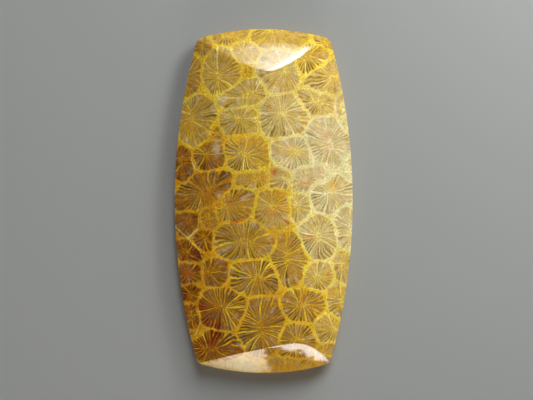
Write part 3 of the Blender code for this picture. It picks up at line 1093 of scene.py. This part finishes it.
def window_glow(azimuth, elevation):
    """The window beyond the top end, with leaning edges, and the light that falls off to its left."""
    left_edge = 73.6 + elevation * 0.29
    right_edge = 76.0 - elevation.ramp(27, 38) * 6.5 + (elevation - 36).most(0.0) * 0.45
    pane = (left_edge - azimuth).ramp(-1.2, 2.2) * (azimuth - right_edge).ramp(0, 2.5)
    pane = pane * elevation.ramp(14, 20) * elevation.ramp(64, 58) * 1.25
    aside = azimuth.ramp(104, 82, "LINEAR") * (azimuth - right_edge).ramp(0, 8)
    upward = elevation.ramp(14, 28) * 0.54 + elevation.ramp(30, 52) * 0.2
    return pane.most(aside * upward * elevation.ramp(66, 56))


def front_glow(azimuth, elevation):
    """Two low soft lights beyond the near end, on either side of what the near facet mirrors."""
    left = azimuth.ramp(-156, -140) * azimuth.ramp(-108, -116)
    right = azimuth.ramp(-66, -58) * azimuth.ramp(-20, -36)
    return (left + right) * elevation.ramp(0, 3) * elevation.ramp(18, 10)


def card_glow(azimuth, elevation, curl):
    """The low card beyond the near end: whole on the left, and a band that dips on the right."""
    elevation = elevation + (curl - 0.5) * 2
    azimuth = azimuth + (curl - 0.5) * 4.5
    border = -88.3 - elevation * 0.13
    left = azimuth.ramp(-111, -97) * (border - azimuth).ramp(-0.15, 0.15) * elevation.ramp(1.4, 2.2)
    left = left * (0.46 + 0.54 * elevation.ramp(2, 11)) * elevation.ramp(22, 16)
    dip = (azimuth + 80.5).most(0.0) * 1.42 - (azimuth + 75.0).most(0.0) * 1.2
    lower = 11.3 - dip + (-83.0 - azimuth).most(0.0) * 0.85
    band = azimuth.ramp(-91, -89) * azimuth.ramp(-66, -70) * (elevation - lower).ramp(-0.5, 0.5)
    return left, band * elevation.ramp(26, 22) * 1.2


def make_world(studio):
    """Light all round, drawn over azimuth, counted from +X towards +Y, and elevation, both in degrees."""
    world = bpy.data.worlds.new("studio")
    paint = Paint(world)
    away = paint.add("TexCoord", {}, {}, "Generated")
    x, y, z = paint.split(away)
    azimuth = y.maths("ARCTAN2", x) * math.degrees(1)
    elevation = z.maths("ARCSINE") * math.degrees(1)
    curl = paint.cloud(away, 40.0, 1.0, 0.5)
    window = window_glow(azimuth, elevation) * studio.window
    front = front_glow(azimuth, elevation) * studio.front
    left, band = card_glow(azimuth, elevation, curl)
    cool = paint.shaded(paint.vector(0.93, 0.99, 1.06), window + studio.sky)
    warm = paint.moved(
        paint.shaded(paint.vector(1.0, 0.89, 0.7), left * studio.card),
        paint.shaded(paint.vector(1.0, 0.98, 0.93), front + band * studio.card),
    )
    background = world.node_tree.nodes["Background"].inputs
    paint.feed(background["Color"], paint.moved(cool, warm))
    background["Strength"].default_value = 1.0
    bpy.context.scene.world = world


def make_floor(colour):
    half = FLOOR_HALF
    mesh = bpy.data.meshes.new("floor")
    corners = [(-half, -half, 0), (half, -half, 0), (half, half, 0), (-half, half, 0)]
    mesh.from_pydata(corners, [], [(0, 1, 2, 3)])
    mesh.materials.append(floor_material(colour))
    add_object("floor", mesh)


def make_camera():
    data = bpy.data.cameras.new("camera")
    data.lens = LENS
    data.sensor_width = SENSOR
    data.clip_start = 0.005
    across = IMAGE_WIDTH * MM_PER_PIXEL * MM
    distance = across * LENS / SENSOR
    aim_x = (IMAGE_WIDTH / 2 - STONE_PIXEL_X) * MM_PER_PIXEL * MM
    aim_y = (STONE_PIXEL_Y - IMAGE_HEIGHT / 2) * MM_PER_PIXEL * MM
    camera = add_object("camera", data)
    camera.location = (aim_x, aim_y, distance + GIRDLE)
    bpy.context.scene.camera = camera


class CABOCHON_OT_studio(bpy.types.Operator):
    """Make the floor, the lights and the camera"""

    bl_idname = "cabochon.studio"
    bl_label = "Make the studio"

    def execute(self, context):
        studio = context.scene.cabochon_studio
        make_floor(studio.floor)
        make_world(studio)
        make_fill(studio.fill)
        make_camera()
        context.scene.view_settings.view_transform = "Standard"
        return {"FINISHED"}


class CABOCHON_PT_panel(bpy.types.Panel):
    """The cabochon's settings and its two steps"""

    bl_label = "Cabochon"
    bl_idname = "CABOCHON_PT_panel"
    bl_space_type = "VIEW_3D"
    bl_region_type = "UI"
    bl_category = "Cabochon"

    def draw(self, context):
        steps = (("cabochon_stone", "cabochon.stone"), ("cabochon_studio", "cabochon.studio"))
        for settings_name, operator in steps:
            box = self.layout.box()
            settings = getattr(context.scene, settings_name)
            for name in settings.__annotations__:
                box.prop(settings, name)
            box.operator(operator)


CLASSES = (StoneSettings, StudioSettings, CABOCHON_OT_stone, CABOCHON_OT_studio, CABOCHON_PT_panel)


def register():
    for cls in CLASSES:
        bpy.utils.register_class(cls)
    bpy.types.Scene.cabochon_stone = PointerProperty(type=StoneSettings)
    bpy.types.Scene.cabochon_studio = PointerProperty(type=StudioSettings)


def unregister():
    del bpy.types.Scene.cabochon_studio
    del bpy.types.Scene.cabochon_stone
    for cls in reversed(CLASSES):
        bpy.utils.unregister_class(cls)


def main():
    register()
    bpy.ops.cabochon.stone()
    bpy.ops.cabochon.studio()


if __name__ == "__main__":
    main()
